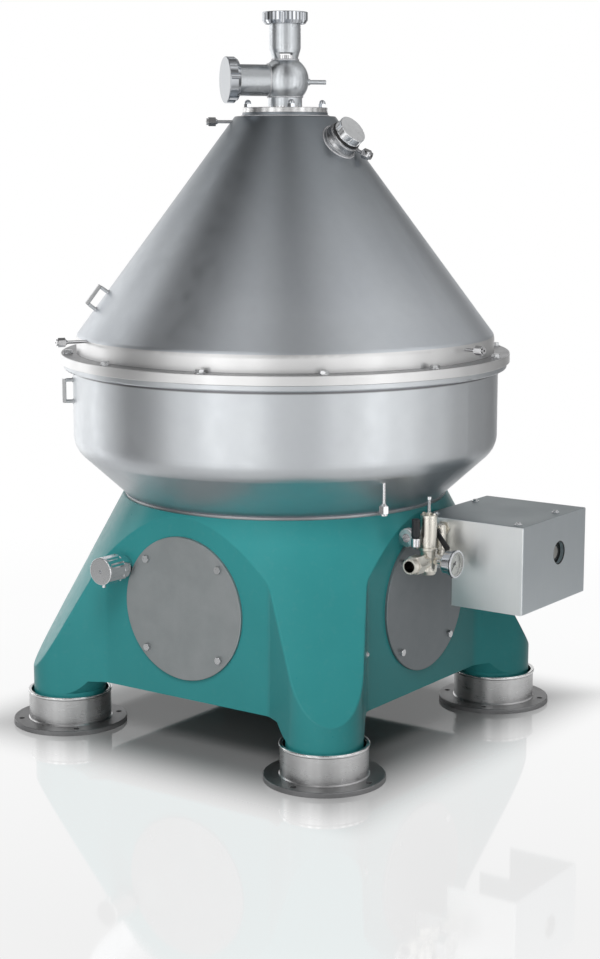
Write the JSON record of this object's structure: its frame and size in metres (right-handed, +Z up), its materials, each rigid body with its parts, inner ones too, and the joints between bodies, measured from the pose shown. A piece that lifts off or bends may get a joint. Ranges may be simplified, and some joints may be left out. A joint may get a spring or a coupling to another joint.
{
  "type": "centrifugal separator",
  "caption": "Disc-bowl centrifugal separator: conical stainless hood and casing on a painted four-legged frame, with feed head, water valves and a control box.",
  "frame": {"origin": "on the floor under the bowl axis, at the centre of the square of the four feet", "axes": "+Z up along the bowl axis; -Y towards the side with the oil filler; +X towards the side with the control box and the water valves; the feet stand on the diagonals"},
  "size_m": [1.432, 1.327, 1.9949],
  "materials": {
    "teal_paint": "satin teal enamel on cast iron",
    "satin_steel": "blasted and brushed stainless steel",
    "ring_steel": "turned stainless steel",
    "bright_steel": "polished stainless steel",
    "cover_steel": "mottled matte stainless steel",
    "foot_steel": "grey cast foot with turned cup",
    "dark_rubber": "matte black rubber",
    "gasket_dark": "thin dark sheet gasket",
    "box_sheet": "fine-grained stainless sheet",
    "bracket_steel": "folded sheet steel",
    "socket_silver": "satin aluminium",
    "nickel": "beige nickel plate over cast brass",
    "dial_glass": "clear flat glass",
    "needle_black": "matte black",
    "knob_black": "moulded black plastic",
    "lever_black": "coated lever",
    "bowl_steel": "machined stainless steel",
    "motor_iron": "painted cast iron",
    "core_iron": "laminated core",
    "bearing_steel": "ground bearing steel"
  },
  "bodies": {
    "machine_frame": {"foot_base_front": "foot_steel", "foot_base_left": "foot_steel", "foot_base_back": "foot_steel", "foot_base_right": "foot_steel", "foot_buffers": "dark_rubber", "frame_housing": "teal_paint", "side_covers": "cover_steel", "side_cover_bolts": "bright_steel", "bowl_casing": "satin_steel", "hood": "satin_steel", "hood_gasket": "gasket_dark", "hood_bolts": "bright_steel", "top_plate": "ring_steel", "top_cap_nuts": "bright_steel", "feed_head": "satin_steel", "feed_tube": "bowl_steel", "centripetal_pump": "bowl_steel", "guide_lugs": "bright_steel", "port_neck": "ring_steel", "tube_fittings": "bright_steel", "sediment_outlet": "satin_steel", "motor_housing": "motor_iron", "stator": "core_iron", "bearing_housing": "motor_iron", "bearing_outer_rings": "bearing_steel", "filler_neck": "bright_steel", "control_box": "box_sheet", "box_bracket": "bracket_steel", "box_screws": "bright_steel", "box_socket": "socket_silver", "regulator_body": "nickel", "regulator_bonnet": "nickel", "inlet_union": "nickel", "gauge_case": "bright_steel", "gauge_glass": "dial_glass", "ball_valve": "nickel", "stop_valve": "bright_steel"},
    "bowl": {"bowl_bottom": "bowl_steel", "bowl_top": "bowl_steel", "bowl_lock_ring": "bowl_steel", "chamber_cover": "bowl_steel", "distributor": "bowl_steel", "disc_stack": "bowl_steel", "spindle": "bowl_steel", "motor_rotor": "core_iron", "bearing_inner_rings": "bearing_steel"},
    "bowl_piston": {"sliding_piston": "bowl_steel"},
    "cages": {"bearing_cages": "bearing_steel"},
    "top_seal_disc": {"top_seal": "dark_rubber"},
    "top_nut": {"top_blind_nut": "bright_steel"},
    "side_seal_disc": {"side_seal": "dark_rubber"},
    "side_nut": {"side_blind_nut": "bright_steel"},
    "port_seal_ring": {"port_seal": "dark_rubber"},
    "port_lid": {"port_cap": "bright_steel"},
    "filler_seal_ring": {"filler_seal": "dark_rubber"},
    "filler_lid": {"filler_cap": "ring_steel"},
    "regulator_screw": {"adjusting_screw": "bright_steel"},
    "stop_knob": {"valve_knob": "knob_black"},
    "ball_lever": {"valve_lever": "lever_black"},
    "pressure_needle": {"gauge_needle": "needle_black"}
  },
  "joints": [
    {"name": "bowl_spin", "type": "hinge", "parent": "machine_frame", "child": "bowl", "pos_m": [0, 0, 0.65], "axis": [0, 0, 1], "continuous": true},
    {"name": "piston_slide", "type": "slide", "parent": "bowl", "child": "bowl_piston", "axis": [0, 0, 1], "range_m": [0, 0.008]},
    {"name": "cage_spin", "type": "hinge", "parent": "machine_frame", "child": "cages", "pos_m": [0, 0, 0.65], "axis": [0, 0, 1], "continuous": true},
    {"name": "top_nut_travel", "type": "slide", "parent": "machine_frame", "child": "top_seal_disc", "axis": [0, 0, 1], "range_m": [0, 0.01906]},
    {"name": "top_nut_turn", "type": "hinge", "parent": "top_seal_disc", "child": "top_nut", "pos_m": [0, 0, 1.985], "axis": [0, 0, 1], "range_deg": [0, 1080]},
    {"name": "side_nut_travel", "type": "slide", "parent": "machine_frame", "child": "side_seal_disc", "axis": [-0.6115, -0.7912, 0], "range_m": [0, 0.01906]},
    {"name": "side_nut_turn", "type": "hinge", "parent": "side_seal_disc", "child": "side_nut", "pos_m": [-0.09968, -0.12897, 1.81], "axis": [-0.6115, -0.7912, 0], "range_deg": [0, 1080]},
    {"name": "port_cap_travel", "type": "slide", "parent": "machine_frame", "child": "port_seal_ring", "axis": [0.7994, -0.0559, 0.5981], "range_m": [0, 0.01801]},
    {"name": "port_cap_turn", "type": "hinge", "parent": "port_seal_ring", "child": "port_lid", "pos_m": [0.19272, -0.01348, 1.641], "axis": [0.7994, -0.0559, 0.5981], "range_deg": [0, 2160]},
    {"name": "filler_cap_travel", "type": "slide", "parent": "machine_frame", "child": "filler_seal_ring", "axis": [0, -1, 0], "range_m": [0, 0.03001]},
    {"name": "filler_cap_turn", "type": "hinge", "parent": "filler_seal_ring", "child": "filler_lid", "pos_m": [-0.207, -0.49, 0.491], "axis": [0, -1, 0], "range_deg": [0, 3600]},
    {"name": "adjusting_screw_turn", "type": "hinge", "parent": "machine_frame", "child": "regulator_screw", "pos_m": [0.555, -0.116, 0.65], "axis": [0, 0, 1], "range_deg": [-720, 720]},
    {"name": "stop_knob_turn", "type": "hinge", "parent": "machine_frame", "child": "stop_knob", "pos_m": [0.535, -0.1494, 0.62], "axis": [0, 0, 1], "range_deg": [0, 900]},
    {"name": "lever_turn", "type": "hinge", "parent": "machine_frame", "child": "ball_lever", "pos_m": [0.56, -0.077, 0.611], "axis": [0, -1, 0], "range_deg": [0, 90]},
    {"name": "needle_turn", "type": "hinge", "parent": "machine_frame", "child": "pressure_needle", "pos_m": [0.637, -0.116, 0.538], "axis": [-1, 0, 0], "range_deg": [0, 270]}
  ],
  "couplings": [
    {"joint": "cage_spin", "follows": "bowl_spin", "ratio": 0.4107},
    {"joint": "top_nut_travel", "follows": "top_nut_turn", "m_per_rad": 0.0010106},
    {"joint": "side_nut_travel", "follows": "side_nut_turn", "m_per_rad": 0.0010106},
    {"joint": "port_cap_travel", "follows": "port_cap_turn", "m_per_rad": 0.00047746},
    {"joint": "filler_cap_travel", "follows": "filler_cap_turn", "m_per_rad": 0.00047746}
  ]
}
